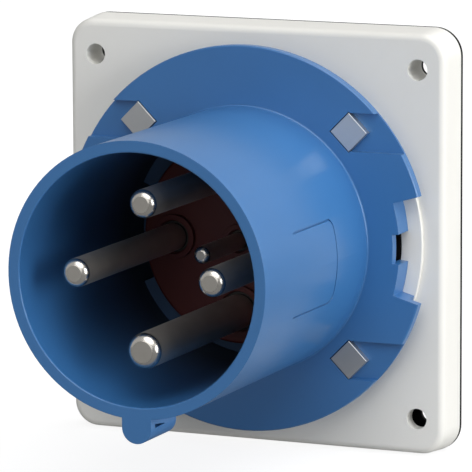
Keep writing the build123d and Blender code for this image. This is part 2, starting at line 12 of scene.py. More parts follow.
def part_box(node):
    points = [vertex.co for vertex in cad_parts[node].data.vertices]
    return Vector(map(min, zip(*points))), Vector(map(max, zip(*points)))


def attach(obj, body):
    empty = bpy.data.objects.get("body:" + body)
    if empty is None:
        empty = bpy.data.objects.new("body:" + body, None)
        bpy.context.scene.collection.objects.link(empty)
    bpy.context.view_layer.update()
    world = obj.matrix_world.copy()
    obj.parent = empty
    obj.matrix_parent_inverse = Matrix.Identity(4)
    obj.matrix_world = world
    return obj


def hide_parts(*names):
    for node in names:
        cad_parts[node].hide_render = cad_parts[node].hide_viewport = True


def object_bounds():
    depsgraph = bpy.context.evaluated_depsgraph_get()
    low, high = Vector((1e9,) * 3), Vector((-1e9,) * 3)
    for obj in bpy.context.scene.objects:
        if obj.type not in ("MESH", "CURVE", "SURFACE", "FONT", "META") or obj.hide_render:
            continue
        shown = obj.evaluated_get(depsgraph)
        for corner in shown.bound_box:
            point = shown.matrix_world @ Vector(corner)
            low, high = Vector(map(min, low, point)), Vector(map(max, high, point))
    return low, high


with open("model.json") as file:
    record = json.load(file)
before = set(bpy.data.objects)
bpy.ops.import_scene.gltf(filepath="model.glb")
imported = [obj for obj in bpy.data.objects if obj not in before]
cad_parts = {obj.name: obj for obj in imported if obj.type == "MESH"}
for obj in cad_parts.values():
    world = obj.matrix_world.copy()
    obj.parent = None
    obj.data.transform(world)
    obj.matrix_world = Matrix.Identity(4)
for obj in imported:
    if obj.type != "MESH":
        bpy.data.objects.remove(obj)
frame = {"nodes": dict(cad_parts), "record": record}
cad_box = [list(corner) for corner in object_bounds()]

bl_info = {
    "name": "Pin and Sleeve Inlet Looks",
    "version": (1, 0, 0),
    "blender": (4, 5, 0),
    "location": "3D View > Sidebar > Inlet",
    "description": "Finishes, small fittings and a plain stage for a pin and sleeve inlet",
    "category": "Object",
}

BODY = "root"
CLAMP_NUMBERS = (1, 2, 3, 4)
SLOT_NODES = {}
for entry in frame["record"]["subparts"]:
    SLOT_NODES.setdefault(entry["material_slot"], []).append(entry["node"])

# The camera's frame, in picture points and in millimetres.
FRAME_PIXELS = 472
SENSOR_WIDTH = 36.0

# Where each lamp stands, seen from the object: x to the right, y to the back, z up.
LAMP_PLACES = {
    "side": (1.0, -0.2, 0.12),
    "rear": (0.95, 0.3, 0.2),
    "top": (0.2, -0.53, 0.82),
    "high": (0.3, 0.3, 0.9),
    "front": (0.0, -0.95, 0.3),
}

# Y of the sleeve's mouth and of the carrier's raised rings.
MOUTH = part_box("plug_collar")[0].y
CARRIER_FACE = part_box("contact_carrier")[0].y

# Spans over which a mask goes from nothing to all of it, or back.
# Y of a direction in the backdrop, from well inside the cone straight in front to its edge.
FRONT_CONE = (-0.88, -0.72)
# Y of the normal of a surface that faces straight out of the sleeve, and just past its rounded edge.
FACED_END = (-0.998, -0.985)
# Y of the normal at the start of a pin's rounding, and on its side.
TURNED_SIDE = (-0.25, -0.05)
# Y at the carrier's face, and just behind it, where the pins in the carrier's bores get painted shade.
PIN_FOOT = (CARRIER_FACE, CARRIER_FACE + 0.0005)
# Y in the sleeve's bore, from where the painted shade starts to get dark to where it is darkest.
BORE_DEPTH = (MOUTH + 0.0135, CARRIER_FACE)
# Distance from the sleeve's axis, from the bore's side of the wall to the middle of the wall.
BORE_EDGE = (0.0354, 0.0364)

# Cells a metre of the noise in each finish, along x, y and z where they differ.
CLOUD_CELLS = 55.0
PIT_CELLS = 5200.0
FLOW_CELLS = (90.0, 9.0, 90.0)
RING_CELLS = (40.0, 4200.0, 40.0)
PLATING_CELLS = 160.0
FIBRE_CELLS = 900.0
# Tone of the plating and roughness of the paper, each from the least to the most.
PLATING_TONE = (0.90, 1.08)
PAPER_ROUGHNESS = (0.85, 0.95)
# How much of the bore's painted shade a surface gets that faces straight out of it.
SHELF_SHADE = 0.72
# How much rougher the skin is where the painted shade is full.
SHADED_MATT = 0.5
WHITE = (1.0, 1.0, 1.0, 1.0)

# Fineness of the fittings: rows for each turn of thread, along a nut's chamfer and round a wire's edge.
THREAD_ROWS = 8
CHAMFER_ROWS = 7
WIRE_EDGE_POINTS = 4
SHARP_FROM = math.radians(28)


# Sizes and colours that a user would change


def colour(name, description, default):
    """A colour of one finish, as linear red, green and blue."""
    return FloatVectorProperty(
        name=name, description=description, subtype="COLOR", size=3, min=0, max=1, default=default
    )


def share(name, description, default):
    """A plain number from 0 to 1."""
    return FloatProperty(name=name, description=description, min=0, max=1, default=default)


def level(name, description, default):
    """A number from 0 up."""
    return FloatProperty(name=name, description=description, min=0, default=default)


def length(name, description, default):
    """A length in metres."""
    return FloatProperty(
        name=name,
        description=description,
        subtype="DISTANCE",
        unit="LENGTH",
        min=0,
        precision=5,
        default=default,
    )


def angle(name, description, default):
    """An angle, given in degrees."""
    return FloatProperty(
        name=name,
        description=description,
        subtype="ANGLE",
        unit="ROTATION",
        default=math.radians(default),
    )


class InletPlastics(bpy.types.PropertyGroup):
    """Moulded plastics and rubber."""

    flange_colour: colour("Flange", "Light grey of the mounting flange", (0.90, 0.89, 0.845))
    collar_colour: colour("Collar", "Blue of the sleeve and the clamping ring", (0.041, 0.170, 0.420))
    carrier_colour: colour("Carrier", "Red-brown of the contact carrier", (0.085, 0.013, 0.011))
    rear_colour: colour("Rear", "Black of the retainer and the lock ring", (0.022, 0.022, 0.024))
    rubber_colour: colour("Rubber", "Black of the gasket and the seals", (0.008, 0.008, 0.009))
    flange_roughness: share("Flange roughness", "How matt the flange is", 0.42)
    collar_roughness: share("Collar roughness", "How matt the collar is", 0.30)
    carrier_roughness: share("Carrier roughness", "How matt the carrier is", 0.50)
    rubber_roughness: share("Rubber roughness", "How matt the rubber is", 0.72)
    # Painted shade that darkens the sleeve's bore towards its bottom.
    bore_painted_shade: share("Painted bore shade", "How much darker the sleeve is at the bottom of its bore", 0.90)
    edge_radius: length("Edge radius", "Radius that the shader gives the moulded edges", 0.00025)


class InletFittings(bpy.types.PropertyGroup):
    """Square headed bolts, spring washers and nuts that clamp the collar to the flange."""

    columns: IntProperty(
        name="Columns", description="Points round each fitting, a multiple of 12", default=96
    )
    thread_pitch: length("Thread pitch", "Advance of the bolt's thread in one turn", 0.0008)
    thread_depth: length("Thread depth", "From the thread's crest to its root", 0.00040)
    thread_length: length("Thread length", "Threaded stretch at the bolt's end", 0.0090)
    end_chamfer: length("End chamfer", "Chamfer on the bolt's end", 0.0005)
    shank_radius: length("Shank radius", "Radius of the bolt's shank and of the thread's crest", 0.00245)
    head_height: length("Head height", "Height of the bolt's square head", 0.0022)
    head_chamfer: length("Head chamfer", "Chamfer round the face of the head", 0.00012)
    nut_bore: length("Nut bore", "Radius of the nut's bore", 0.0025)
    nut_lead: length("Nut lead", "Chamfer at each end of the nut's bore", 0.0003)
    nut_face: length("Nut face", "Radius at which the chamfer of the nut's corners starts", 0.0038)
    nut_slope: angle("Nut slope", "Slope of the chamfer on the nut's corners", 30)
    washer_bore: length("Washer bore", "Inner radius of the spring washer", 0.0028)
    washer_radius: length("Washer radius", "Outer radius of the spring washer", 0.0045)
    washer_height: length("Washer height", "Thickness of the spring washer's wire", 0.0008)
    washer_edge: length("Washer edge", "Rounding of the wire's four edges", 0.00012)
    washer_gap: angle("Washer gap", "Opening between the ends of the spring washer", 11)
    washer_slant: angle("Washer slant", "How far the cut leans over through the washer's thickness", 9)


class InletMetals(bpy.types.PropertyGroup):
    """Plated pins and fasteners."""

    nickel_colour: colour("Nickel", "Plating of the pins", (0.66, 0.63, 0.58))
    zinc_colour: colour("Zinc", "Plating of the bolts, nuts, washers and screws", (0.60, 0.58, 0.56))
    nickel_roughness: share("Nickel roughness", "How matt the pins are", 0.22)
    nickel_edge: length("Pin edge radius", "Radius that the shader gives the edges of the pins", 0.00015)
    # Painted shade on the pins where they go into the carrier.
    painted_foot_shade: share("Painted shade on feet", "How much darker the plating is inside the carrier", 0.85)
    matt_side: share("Matt sides", "How much rougher the pins' turned sides are than their tips", 0.25)
    # Rougher faced ends, darkened as a painted dim reflection.
    dull_painted_end: share("Dull painted ends", "How much darker and duller the pins' faced ends are", 0.32)
    zinc_roughness: share("Zinc roughness", "How matt the fasteners are", 0.52)


class InletStage(bpy.types.PropertyGroup):
    """Camera, lights, backdrop and floor."""

    azimuth: angle("Azimuth", "Turn of the camera to the right of the front view", 23.424)
    elevation: angle("Elevation", "Height of the camera above the level", 9.525)
    roll: angle("Roll", "Turn of the camera about its own line of sight", -0.2228)
    distance: length("Distance", "From the camera to the middle of the flange's face", 1.26574)
    target_reach: length("Target reach", "How far the flange's face stands in front of the panel", 0.0122)
    focal_pixels: level("Focal length", "Focal length in picture points", 4409.69)
    centre_x: level("Centre across", "Optical centre in picture points", 254.678)
    centre_y: level("Centre down", "Optical centre in picture points", 234.852)
    side_strength: level("Side light", "Soft light from the right", 2.40)
    rear_strength: level("Rear light", "Soft light from the right behind", 0.75)
    top_strength: level("Top light", "Soft light from above in front", 1.38)
    high_strength: level("High light", "Soft light from above behind", 1.05)
    front_strength: level("Front light", "Soft light from the front", 0.56)
    side_spread: angle("Side spread", "Angle that the side light fills", 40)
    top_spread: angle("Top spread", "Angle that the top light fills", 55)
    fill_spread: angle("Fill spread", "Angle that each of the other lights fills", 50)
    mirror_strength: share("Mirrored backdrop", "How bright the backdrop is in gloss and metal", 0.50)
    mirror_front: share("Mirrored front", "How bright it is there straight in front", 0.10)
    floor_cast: share("Floor glow", "Plain white that the floor adds to the light on the object", 0.16)
    floor_colour: colour("Floor", "Pale floor under the flange", (0.25, 0.25, 0.25))
    floor_size: length("Floor size", "Side of the floor", 12.0)
    floor_lift: share("Floor lift", "Plain white that the camera sees added to the floor", 0.87)
    floor_mirrored: share("Mirrored floor", "Plain white that gloss and metal see added to it", 0.05)


# Materials: node groups first, then one material for each finish


def group_with(name, inputs, outputs):
    """An empty shader node group: inputs are (name, kind, default), outputs (name, kind)."""
    group = bpy.data.node_groups.new(name, "ShaderNodeTree")
    for label, kind, default in inputs:
        socket = group.interface.new_socket(label, in_out="INPUT", socket_type=kind)
        socket.default_value = default
    for label, kind in outputs:
        group.interface.new_socket(label, in_out="OUTPUT", socket_type=kind)
    return group, group.nodes.new("NodeGroupInput"), group.nodes.new("NodeGroupOutput")


def node(tree, kind, **values):
    """A node with its attributes set, and its inputs where the name starts with a capital letter."""
    made = tree.nodes.new(kind)
    for key, value in values.items():
        if key[0].isupper():
            made.inputs[key.replace("_", " ")].default_value = value
        else:
            setattr(made, key, value)
    return made


def noise(tree, vector, scale, detail=2.0, roughness=0.5):
    """Noise of so many cells a metre, from 0 to 1."""
    made = node(tree, "ShaderNodeTexNoise", Scale=scale, Detail=detail, Roughness=roughness)
    tree.links.new(vector, made.inputs["Vector"])
    return made.outputs["Fac"]


def spread(tree, value, low, high, span=(0.0, 1.0)):
    """A value that runs over a span, stretched to run from low to high."""
    made = node(
        tree, "ShaderNodeMapRange", From_Min=span[0], From_Max=span[1], To_Min=low, To_Max=high
    )
    tree.links.new(value, made.inputs["Value"])
    return made.outputs["Result"]


def stretched(tree, vector, scale):
    """Object coordinates with each axis drawn out by its own scale."""
    made = node(tree, "ShaderNodeMapping", vector_type="POINT")
    made.inputs["Scale"].default_value = scale
    tree.links.new(vector, made.inputs["Vector"])
    return made.outputs["Vector"]


def maths(tree, operation, first, second):
    """One sum of two values, each a socket or a number."""
    made = node(tree, "ShaderNodeMath", operation=operation)
    for index, value in enumerate((first, second)):
        if isinstance(value, bpy.types.NodeSocket):
            tree.links.new(value, made.inputs[index])
        else:
            made.inputs[index].default_value = value
    return made.outputs["Value"]


# What each of the two finish groups puts out.
FINISH_OUTPUTS = (
    ("Colour", "NodeSocketColor"),
    ("Roughness", "NodeSocketFloat"),
    ("Height", "NodeSocketFloat"),
)


def moulded_skin():
    """Group for moulded plastic: cloudy tone, tiny pits of the mould's spark finish and uneven gloss.

    The shade input paints shade: it darkens the tone and roughens the skin, from 1 for the plain colour
    to 0 for black.
    """
    group, given, result = group_with(
        "moulded_skin",
        [
            ("Colour", "NodeSocketColor", WHITE),
            ("Cloud", "NodeSocketFloat", 0.05),
            ("Gloss spread", "NodeSocketFloat", 0.06),
            ("Roughness", "NodeSocketFloat", 0.4),
            ("Shade", "NodeSocketFloat", 1.0),
        ],
        FINISH_OUTPUTS,
    )
    place = group.nodes.new("ShaderNodeTexCoord").outputs["Object"]
    cloud = noise(group, place, CLOUD_CELLS, detail=3.0)
    pits = noise(group, place, PIT_CELLS, detail=1.0)
    flow = noise(group, stretched(group, place, FLOW_CELLS), 1.0, detail=2.0)
    tone = maths(group, "MULTIPLY", maths(group, "SUBTRACT", cloud, 0.5), given.outputs["Cloud"])
    even = maths(group, "ADD", maths(group, "MULTIPLY", tone, 2.0), 1.0)
    value = maths(group, "MULTIPLY", even, given.outputs["Shade"])
    tint = node(group, "ShaderNodeHueSaturation")
    group.links.new(given.outputs["Colour"], tint.inputs["Color"])
    group.links.new(value, tint.inputs["Value"])
    gloss = maths(group, "MULTIPLY", maths(group, "SUBTRACT", flow, 0.5), given.outputs["Gloss spread"])
    matt = maths(group, "MULTIPLY", maths(group, "SUBTRACT", 1.0, given.outputs["Shade"]), SHADED_MATT)
    rough = maths(group, "ADD", matt, given.outputs["Roughness"])
    group.links.new(tint.outputs["Color"], result.inputs["Colour"])
    group.links.new(maths(group, "ADD", gloss, rough), result.inputs["Roughness"])
    group.links.new(pits, result.inputs["Height"])
    return group


def bore_shade():
    """Group for the sleeve's painted shade: how much of its colour is kept, less and less towards the
    bore's bottom.

    The shelf there faces out and keeps more of it than the wall.
    """
    group, given, result = group_with(
        "bore_shade", [("Darkest", "NodeSocketFloat", 0.8)], [("Shade", "NodeSocketFloat")]
    )
    place = group.nodes.new("ShaderNodeTexCoord").outputs["Object"]
    across = node(group, "ShaderNodeVectorMath", operation="LENGTH")
    group.links.new(stretched(group, place, (1.0, 0.0, 1.0)), across.inputs[0])
    inside = spread(group, across.outputs["Value"], 1.0, 0.0, BORE_EDGE)
    along = group.nodes.new("ShaderNodeSeparateXYZ")
    group.links.new(place, along.inputs["Vector"])
    deep = maths(group, "MULTIPLY", inside, spread(group, along.outputs["Y"], 0.0, 1.0, BORE_DEPTH))
    facing = group.nodes.new("ShaderNodeSeparateXYZ")
    group.links.new(group.nodes.new("ShaderNodeTexCoord").outputs["Normal"], facing.inputs["Vector"])
    wall = spread(group, facing.outputs["Y"], SHELF_SHADE, 1.0, (-1.0, 0.0))
    lost = maths(group, "MULTIPLY", maths(group, "MULTIPLY", deep, wall), given.outputs["Darkest"])
    group.links.new(maths(group, "SUBTRACT", 1.0, lost), result.inputs["Shade"])
    return group


def turned_metal():
    """Group for plated, turned metal: fine rings across the pin's axis and a cloudy plating.

    Faced ends are duller and painted darker for a dim reflection, turned sides rougher, and the foot
    inside the carrier gets painted shade.
    """
    group, given, result = group_with(
        "turned_metal",
        [
            ("Colour", "NodeSocketColor", WHITE),
            ("Roughness", "NodeSocketFloat", 0.2),
            ("Rings", "NodeSocketFloat", 0.08),
            ("Dull end", "NodeSocketFloat", 0.0),
            ("Matt side", "NodeSocketFloat", 0.0),
            ("Dark foot", "NodeSocketFloat", 0.0),
        ],
        FINISH_OUTPUTS,
    )
    place = group.nodes.new("ShaderNodeTexCoord").outputs["Object"]
    rings = noise(group, stretched(group, place, RING_CELLS), 1.0, detail=1.0)
    cloud = noise(group, place, PLATING_CELLS, detail=3.0)
    apart = group.nodes.new("ShaderNodeSeparateXYZ")
    group.links.new(group.nodes.new("ShaderNodeTexCoord").outputs["Normal"], apart.inputs["Vector"])
    facing = apart.outputs["Y"]
    # Faced ends: rougher, and darker as a painted dim reflection.
    faced = spread(group, facing, 1.0, 0.0, FACED_END)
    end = maths(group, "MULTIPLY", faced, given.outputs["Dull end"])
    sideways = spread(group, facing, 0.0, 1.0, TURNED_SIDE)
    side = maths(group, "MULTIPLY", sideways, given.outputs["Matt side"])
    along = group.nodes.new("ShaderNodeSeparateXYZ")
    group.links.new(place, along.inputs["Vector"])
    # Painted shade on the pins inside the carrier.
    inside = spread(group, along.outputs["Y"], 0.0, 1.0, PIN_FOOT)
    foot = maths(group, "MULTIPLY", inside, given.outputs["Dark foot"])
    end_unpainted, unshaded = maths(group, "SUBTRACT", 1.0, end), maths(group, "SUBTRACT", 1.0, foot)
    kept = maths(group, "MULTIPLY", end_unpainted, unshaded)
    value = maths(group, "MULTIPLY", spread(group, cloud, *PLATING_TONE), kept)
    tint = node(group, "ShaderNodeHueSaturation")
    group.links.new(given.outputs["Colour"], tint.inputs["Color"])
    group.links.new(value, tint.inputs["Value"])
    plain = maths(group, "ADD", given.outputs["Roughness"], maths(group, "ADD", end, side))
    both = maths(group, "ADD", maths(group, "MULTIPLY", rings, given.outputs["Rings"]), plain)
    group.links.new(tint.outputs["Color"], result.inputs["Colour"])
    group.links.new(both, result.inputs["Roughness"])
    group.links.new(rings, result.inputs["Height"])
    return group


def start_material(name):
    """A material with nothing but an output and a Principled BSDF."""
    material = bpy.data.materials.new(name)
    material.use_nodes = True
    tree = material.node_tree
    tree.nodes.clear()
    shader = node(tree, "ShaderNodeBsdfPrincipled")
    surface = tree.nodes.new("ShaderNodeOutputMaterial")
    tree.links.new(shader.outputs["BSDF"], surface.inputs["Surface"])
    return material, tree, shader


def relief(tree, shader, height, depth, edge):
    """Bump of a height in metres on top of edges that the shader rounds to a radius."""
    rounded = node(tree, "ShaderNodeBevel", samples=4, Radius=edge)
    bump = node(tree, "ShaderNodeBump", Strength=1.0, Distance=depth)
    tree.links.new(height, bump.inputs["Height"])
    tree.links.new(rounded.outputs["Normal"], bump.inputs["Normal"])
    tree.links.new(bump.outputs["Normal"], shader.inputs["Normal"])


def plastic(name, skin, tone, roughness, edge, cloud=0.05, pit_depth=0.000006, gloss=0.35, shade=None):
    """Moulded plastic of one colour, made with the shared skin group.

    The shade is a group of painted shade that darkens a part of it and makes that part matt, with how
    dark it gets.
    """
    material, tree, shader = start_material(name)
    made = node(tree, "ShaderNodeGroup", node_tree=skin)
    made.inputs["Colour"].default_value = (*tone, 1.0)
    made.inputs["Roughness"].default_value = roughness
    made.inputs["Cloud"].default_value = cloud
    tree.links.new(made.outputs["Colour"], shader.inputs["Base Color"])
    tree.links.new(made.outputs["Roughness"], shader.inputs["Roughness"])
    shader.inputs["Specular IOR Level"].default_value = gloss
    if shade:
        group, darkest = shade
        bore = node(tree, "ShaderNodeGroup", node_tree=group)
        bore.inputs["Darkest"].default_value = darkest
        tree.links.new(bore.outputs["Shade"], made.inputs["Shade"])
    relief(tree, shader, made.outputs["Height"], pit_depth, edge)
    return material


def metal(name, turned, tone, roughness, rings, ring_depth, edge, finish_and_painted_shade=None):
    """Plated metal of one colour, made with the shared turned group.

    The finish and painted shade name the group's inputs for the ends, the sides and the foot, each with
    its share; the ends and the foot are painted darker.
    """
    material, tree, shader = start_material(name)
    made = node(tree, "ShaderNodeGroup", node_tree=turned)
    made.inputs["Colour"].default_value = (*tone, 1.0)
    made.inputs["Roughness"].default_value = roughness
    made.inputs["Rings"].default_value = rings
    for place, amount in (finish_and_painted_shade or {}).items():
        made.inputs[place].default_value = amount
    tree.links.new(made.outputs["Colour"], shader.inputs["Base Color"])
    tree.links.new(made.outputs["Roughness"], shader.inputs["Roughness"])
    shader.inputs["Metallic"].default_value = 1.0
    relief(tree, shader, made.outputs["Height"], ring_depth, edge)
    return material


def dress(slot_name, material):
    """Gives every CAD node of one material slot its finish."""
    for name in SLOT_NODES[slot_name]:
        slots = frame["nodes"][name].data.materials
        slots.clear()
        slots.append(material)


class INLET_OT_plastics(bpy.types.Operator):
    """Gives the flange, the collar, the carrier and the rear pieces their moulded plastic."""

    bl_idname = "inlet.plastics"
    bl_label = "Moulded Plastics"

    def execute(self, context):
        looks = context.scene.inlet_plastics
        skin, edge = moulded_skin(), looks.edge_radius
        flange = (looks.flange_colour, looks.flange_roughness, edge)
        collar = (looks.collar_colour, looks.collar_roughness, edge)
        carrier = (looks.carrier_colour, looks.carrier_roughness, edge)
        rear = (looks.rear_colour, looks.carrier_roughness, edge)
        rubber = (looks.rubber_colour, looks.rubber_roughness, edge)
        # Painted shade that darkens the sleeve's bore towards its bottom.
        shade = (bore_shade(), looks.bore_painted_shade)
        dress("flange_grey", plastic("flange_grey", skin, *flange, cloud=0.02))
        dress("collar_blue", plastic("collar_blue", skin, *collar, gloss=0.75, shade=shade))
        dress("carrier_brown", plastic("carrier_brown", skin, *carrier, cloud=0.20))
        dress("rear_black", plastic("rear_black", skin, *rear, cloud=0.15))
        dress("seal_black", plastic("seal_black", skin, *rubber, cloud=0.25, gloss=0.08))
        return {"FINISHED"}


class INLET_OT_metals(bpy.types.Operator):
    """Gives the pins their nickel and the fasteners their zinc."""

    bl_idname = "inlet.metals"
    bl_label = "Plated Metals"

    def execute(self, context):
        looks = context.scene.inlet_metals
        turned = turned_metal()
        nickel = metal(
            "pin_nickel",
            turned,
            looks.nickel_colour,
            looks.nickel_roughness,
            rings=0.02,
            ring_depth=0.0000004,
            edge=looks.nickel_edge,
            finish_and_painted_shade={
                "Dull end": looks.dull_painted_end,
                "Matt side": looks.matt_side,
                "Dark foot": looks.painted_foot_shade,
            },
        )
        zinc = metal(
            "bolt_steel",
            turned,
            looks.zinc_colour,
            looks.zinc_roughness,
            rings=0.05,
            ring_depth=0.000002,
            edge=context.scene.inlet_plastics.edge_radius,
        )
        dress("pin_nickel", nickel)
        dress("bolt_steel", zinc)
        return {"FINISHED"}


# Fittings: each is a grid of points worked out with numpy, in the place of its CAD node


def polygon_radius(turn, sides, apothem, corner):
    """Distance from the axis to a regular polygon's edge in a direction.

    It is the apothem over the cosine of the angle between the direction and the nearest side's normal.
    """
    step = 2 * np.pi / sides
    return apothem / np.cos(np.mod(turn - corner, step) - step / 2)


def around(radius, turn, reach, place):
    """Points at a radius and a turn about an axis along Y, at a reach in front of the panel.

    X is the axis's x plus radius times cos turn, Y is minus the reach, Z is the axis's z plus radius
    times sin turn.
    """
    radius, turn, reach = np.broadcast_arrays(radius, turn, reach)
    return np.stack((place[0] + radius * np.cos(turn), -reach, place[1] + radius * np.sin(turn)), axis=-1)


def shell(name, points, joined):
    """Mesh object of a grid of points: rows follow a path and columns go round a closed section.

    Each cell of the grid is one quad. The path's end is joined to its start, or else each end of it
    gets one flat face.
    """
    index = np.arange(points.shape[0] * points.shape[1]).reshape(points.shape[:2])
    here, ahead = (index, np.roll(index, -1, axis=0)) if joined else (index[:-1], index[1:])
    corners = (here, ahead, np.roll(ahead, -1, axis=1), np.roll(here, -1, axis=1))
    faces = np.stack(corners, axis=-1).reshape(-1, 4).tolist()
    if not joined:
        faces += [index[0].tolist(), index[-1][::-1].tolist()]
    mesh = bpy.data.meshes.new(name)
    mesh.from_pydata(points.reshape(-1, 3).tolist(), [], faces)
    mesh.shade_smooth()
    mesh.set_sharp_from_angle(angle=SHARP_FROM)
    made = bpy.data.objects.new(name, mesh)
    bpy.context.scene.collection.objects.link(made)
    return made


def thread(reach, turn, pitch, depth):
    """How deep a thread lies under its crest.

    It is the depth times a triangle wave of the reach over the pitch, less the turn.
    """
    phase = np.mod(reach / pitch - turn / (2 * np.pi), 1.0)
    return depth * (1.0 - np.abs(2.0 * phase - 1.0))


def middle(box):
    """Where the axis of a node's box stands in the front view."""
    low, high = box
    return (low.x + high.x) / 2, (low.z + high.z) / 2


def bolt_points(box, sizes):
    """Square headed bolt: the radius is a function of reach and turn.

    On the head it is the square's, which shrinks by the chamfer at the face. On the shank it is even, and
    along the thread it falls by the triangle wave, which grows over the first turn. At the end it is no
    more than a cone's that starts under the root.
    """
    (low, high), place = box, middle(box)
    tip, end = -low.y, -high.y
    turn = np.linspace(0, 2 * np.pi, sizes.columns, endpoint=False)
    apothem = (high.x - low.x) / 2 / math.sqrt(2)
    square = polygon_radius(turn, 4, apothem, 0.0)
    small = polygon_radius(turn, 4, apothem - sizes.head_chamfer, 0.0)
    under = tip - sizes.head_height
    start = end + sizes.thread_length
    rows_down = int(THREAD_ROWS * sizes.thread_length / sizes.thread_pitch) + 1
    reach = np.linspace(start, end, rows_down)[:, None]
    fade = np.clip((start - reach) / sizes.thread_pitch, 0.0, 1.0)
    wave = fade * thread(reach, turn[None, :], sizes.thread_pitch, sizes.thread_depth)
    cone = sizes.shank_radius - sizes.end_chamfer + (reach - end)
    threaded = np.minimum(sizes.shank_radius - wave, cone)
    rows = [
        around(small, turn, tip, place),
        around(square, turn, tip - sizes.head_chamfer, place),
        around(square, turn, under, place),
        around(sizes.shank_radius, turn, under, place),
    ]
    return np.concatenate((np.stack(rows), around(threaded, turn[None, :], reach, place)))


def nut_points(box, sizes):
    """Hexagon nut: one section of the ring, from the bore out and round, for every turn.

    The outer radius is the least of the hexagon's and of two cones', which start at the face radius on
    either face, so the corners get the curved edge that turning a nut's face leaves.
    """
    (low, high), place = box, middle(box)
    back, front = -high.y, -low.y
    turn = np.linspace(0, 2 * np.pi, sizes.columns, endpoint=False)
    apothem = min(high.x - low.x, high.z - low.z) / 2
    corner = 0.0 if high.x - low.x > high.z - low.z else math.pi / 6
    hexagon = polygon_radius(turn, 6, apothem, corner)[:, None]
    deepest = (polygon_radius(corner, 6, apothem, corner) - sizes.nut_face) * math.tan(sizes.nut_slope)
    fall = np.linspace(0.0, deepest, CHAMFER_ROWS)
    reach = np.concatenate((back + fall, front - fall[::-1]))[None, :]
    nearest = np.minimum(reach - back, front - reach)
    side = np.minimum(hexagon, sizes.nut_face + nearest / math.tan(sizes.nut_slope))
    bore_radius = sizes.nut_bore + np.array([sizes.nut_lead, 0.0, 0.0, sizes.nut_lead])[None, :]
    bore_reach = np.array([front, front - sizes.nut_lead, back + sizes.nut_lead, back])[None, :]
    radius = np.concatenate((side, np.repeat(bore_radius, sizes.columns, axis=0)), axis=1)
    height = np.repeat(np.concatenate((reach, bore_reach), axis=1), sizes.columns, axis=0)
    return around(radius, turn[:, None], height, place)


def washer_points(box, sizes):
    """Spring washer: a rounded rectangle carried round an open turn.

    The section rises with the turn by what the washer's height leaves of the space, and the cut leans
    over by the slant from its back to its front.
    """
    (low, high), place = box, middle(box)
    back, room = -high.y, high.y - low.y
    turn = np.linspace(sizes.washer_gap / 2, 2 * np.pi - sizes.washer_gap / 2, sizes.columns)[:, None]
    edge = sizes.washer_edge
    corner = np.linspace(0, np.pi / 2, WIRE_EDGE_POINTS)
    round_turn = np.concatenate([corner + quarter * np.pi / 2 for quarter in range(4)])
    out = np.repeat([1, -1, -1, 1], len(corner))
    up = np.repeat([1, 1, -1, -1], len(corner))
    half_width = (sizes.washer_radius - sizes.washer_bore) / 2 - edge
    half_height = sizes.washer_height / 2 - edge
    radius = (sizes.washer_radius + sizes.washer_bore) / 2 + out * half_width + edge * np.cos(round_turn)
    height = up * half_height + edge * np.sin(round_turn)
    lift = sizes.washer_height / 2 + (room - sizes.washer_height) * turn / (2 * np.pi)
    lean = sizes.washer_slant * height / sizes.washer_height
    return around(radius[None, :], turn + lean[None, :], back + lift + height[None, :], place)


class INLET_OT_fittings(bpy.types.Operator):
    """Makes the four clamp bolts with threads, their spring washers and their nuts."""

    bl_idname = "inlet.fittings"
    bl_label = "Clamp Fittings"

    def execute(self, context):
        sizes = context.scene.inlet_fittings
        if sizes.columns % 12:
            raise ValueError("columns must be a multiple of 12, for the corners of squares and hexagons")
        for kind, shape, joined in (
            ("bolt", bolt_points, False),
            ("nut", nut_points, True),
            ("washer", washer_points, False),
        ):
            for number in CLAMP_NUMBERS:
                stem = f"clamp_{kind}_{number}"
                made = shell(f"{stem}_turned", shape(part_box(stem), sizes), joined)
                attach(made, BODY)
                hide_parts(stem)
                made.data.materials.append(bpy.data.materials["bolt_steel"])
        return {"FINISHED"}


# Stage: camera, lights, backdrop and floor


def aim(direction, at=Vector((0.0, 0.0, 0.0)), far=2.0):
    """Matrix of a lamp that stands so far out in a direction and shines back along it."""
    out = Vector(direction).normalized()
    turn = out.to_track_quat("Z", "Y").to_matrix().to_4x4()
    return Matrix.Translation(at + out * far) @ turn


def add_sun(name, direction, strength, spread_angle):
    """A sun lamp from one direction, as soft as the angle that it fills."""
    lamp = bpy.data.lights.new(name, "SUN")
    lamp.energy = strength
    lamp.angle = spread_angle
    placed = bpy.data.objects.new(name, lamp)
    bpy.context.scene.collection.objects.link(placed)
    placed.matrix_world = aim(direction)
    return placed


def seen_level(tree, plain, mirrored, cast):
    """One level where the camera sees it, another in gloss and metal, a third in the light it casts."""
    path = tree.nodes.new("ShaderNodeLightPath")
    camera = path.outputs["Is Camera Ray"]
    mirror = maths(tree, "MAXIMUM", path.outputs["Is Glossy Ray"], path.outputs["Is Transmission Ray"])
    other = maths(tree, "SUBTRACT", 1.0, maths(tree, "ADD", camera, mirror))
    seen = maths(tree, "MULTIPLY", camera, plain)
    for part, level in ((mirror, mirrored), (other, cast)):
        seen = maths(tree, "ADD", seen, maths(tree, "MULTIPLY", part, level))
    return seen


